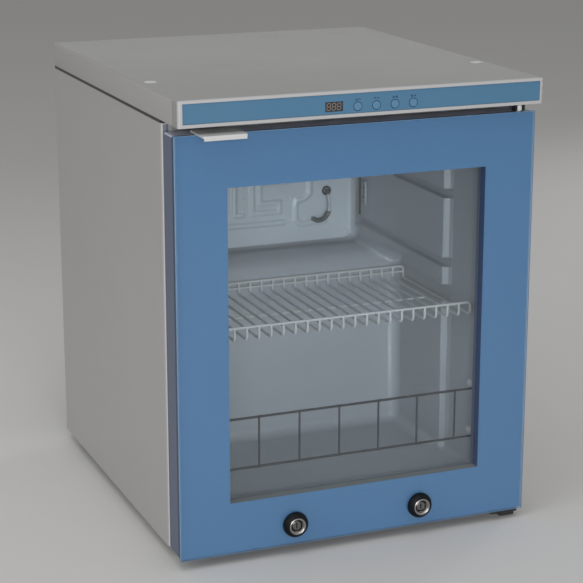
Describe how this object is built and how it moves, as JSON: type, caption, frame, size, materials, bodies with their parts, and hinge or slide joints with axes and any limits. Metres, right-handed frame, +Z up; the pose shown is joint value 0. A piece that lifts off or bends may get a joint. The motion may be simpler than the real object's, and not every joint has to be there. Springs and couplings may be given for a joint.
{
  "type": "warming cabinet",
  "caption": "Compact bench-top warming cabinet with a hinged double-glazed door, key locks, a front control strip, a wire shelf and a bottle guard.",
  "frame": {"origin": "on the floor, under the middle of the bounding box", "axes": "+Z up, -Y out through the door, +X to the door's hinge side"},
  "size_m": [0.43, 0.503, 0.5321],
  "materials": {
    "coat_paint": "smooth, semi-gloss",
    "liner_plastic": "moulded, satin",
    "white_plastic": "smooth",
    "white_wire": "powder-coated",
    "zinc_sheet": "galvanised",
    "bright_wire": "bright drawn",
    "plain_steel": "plain",
    "chrome_plate": "plated",
    "black_plastic": "smooth",
    "black_metal": "satin",
    "grey_plastic": "fine grain",
    "seal_rubber": "soft",
    "foot_rubber": "moulded",
    "blue_print": "printed on glass",
    "blue_film": "printed film",
    "clear_glass": "clear",
    "smoked_window": "clear tinted",
    "board_laminate": "lacquered",
    "foam": "cellular",
    "plate_aluminium": "roll-bonded",
    "heater_film": "film",
    "copper_tube": "bare"
  },
  "bodies": {
    "cabinet": {"left_side_panel": "coat_paint", "right_side_panel": "coat_paint", "back_panel": "zinc_sheet", "compressor_cover": "black_metal", "base_pan": "zinc_sheet", "front_lower_rail": "coat_paint", "top_panel": "zinc_sheet", "inner_liner": "liner_plastic", "foam_insulation": "foam", "evaporator_plate": "plate_aluminium", "heater_foil": "heater_film", "temperature_probe": "grey_plastic", "tube_grommet": "foot_rubber", "air_sensor_cover": "white_plastic", "bottle_guard": "bright_wire", "compressor": "black_metal", "compressor_base": "zinc_sheet", "suction_tube": "copper_tube", "discharge_tube": "copper_tube", "power_inlet": "black_plastic", "top_cover": "coat_paint", "fascia_frame": "white_plastic", "control_strip": "blue_film", "display_window": "smoked_window", "display_module": "black_plastic", "controller_board": "board_laminate", "cover_cap_left": "white_plastic", "cover_cap_right": "white_plastic", "upper_hinge_bracket": "black_metal", "lower_hinge_bracket": "black_metal", "upper_hinge_pin": "chrome_plate", "lower_hinge_pin": "chrome_plate", "foot_rear_left": "foot_rubber", "foot_rear_right": "foot_rubber"},
    "door": {"outer_glass": "clear_glass", "printed_border": "blue_print", "spacer_frame": "black_plastic", "inner_glass": "clear_glass", "door_frame": "grey_plastic", "door_gasket": "seal_rubber", "handle_tab": "white_plastic", "upper_hinge_bush": "white_plastic", "lower_hinge_bush": "white_plastic", "lock_housing_left": "black_plastic", "lock_housing_right": "black_plastic", "lock_nut_left": "plain_steel", "lock_nut_right": "plain_steel"},
    "lock_left": {"lock_plug_left": "chrome_plate", "lock_cam_left": "plain_steel"},
    "lock_right": {"lock_plug_right": "chrome_plate", "lock_cam_right": "plain_steel"},
    "button_1": {"button_1": "blue_film"},
    "button_2": {"button_2": "blue_film"},
    "button_3": {"button_3": "blue_film"},
    "button_4": {"button_4": "blue_film"},
    "shelf": {"shelf_floor_bars": "white_wire", "shelf_front_rail": "white_wire", "shelf_rear_rail": "white_wire"},
    "foot_left": {"foot_front_left": "foot_rubber"},
    "foot_right": {"foot_front_right": "foot_rubber"}
  },
  "joints": [
    {"name": "door_hinge", "type": "hinge", "parent": "cabinet", "child": "door", "pos_m": [0.199, -0.2145, 0.252], "axis": [0, 0, 1], "range_deg": [0, 110]},
    {"name": "lock_turn_left", "type": "hinge", "parent": "door", "child": "lock_left", "pos_m": [-0.078, -0.2265, 0.037], "axis": [0, -1, 0], "range_deg": [0, 90]},
    {"name": "lock_turn_right", "type": "hinge", "parent": "door", "child": "lock_right", "pos_m": [0.078, -0.2265, 0.037], "axis": [0, -1, 0], "range_deg": [0, 90]},
    {"name": "button_press_1", "type": "slide", "parent": "cabinet", "child": "button_1", "axis": [0, 1, 0], "range_m": [0, 0.0008], "stiffness_N_per_m": 600},
    {"name": "button_press_2", "type": "slide", "parent": "cabinet", "child": "button_2", "axis": [0, 1, 0], "range_m": [0, 0.0008], "stiffness_N_per_m": 600},
    {"name": "button_press_3", "type": "slide", "parent": "cabinet", "child": "button_3", "axis": [0, 1, 0], "range_m": [0, 0.0008], "stiffness_N_per_m": 600},
    {"name": "button_press_4", "type": "slide", "parent": "cabinet", "child": "button_4", "axis": [0, 1, 0], "range_m": [0, 0.0008], "stiffness_N_per_m": 600},
    {"name": "shelf_slide", "type": "slide", "parent": "cabinet", "child": "shelf", "axis": [0, -1, 0], "range_m": [0, 0.035]},
    {"name": "foot_turn_left", "type": "hinge", "parent": "cabinet", "child": "foot_left", "pos_m": [-0.184, -0.1215, 0], "axis": [0, 0, 1], "continuous": true},
    {"name": "foot_turn_right", "type": "hinge", "parent": "cabinet", "child": "foot_right", "pos_m": [0.184, -0.1215, 0], "axis": [0, 0, 1], "continuous": true}
  ]
}
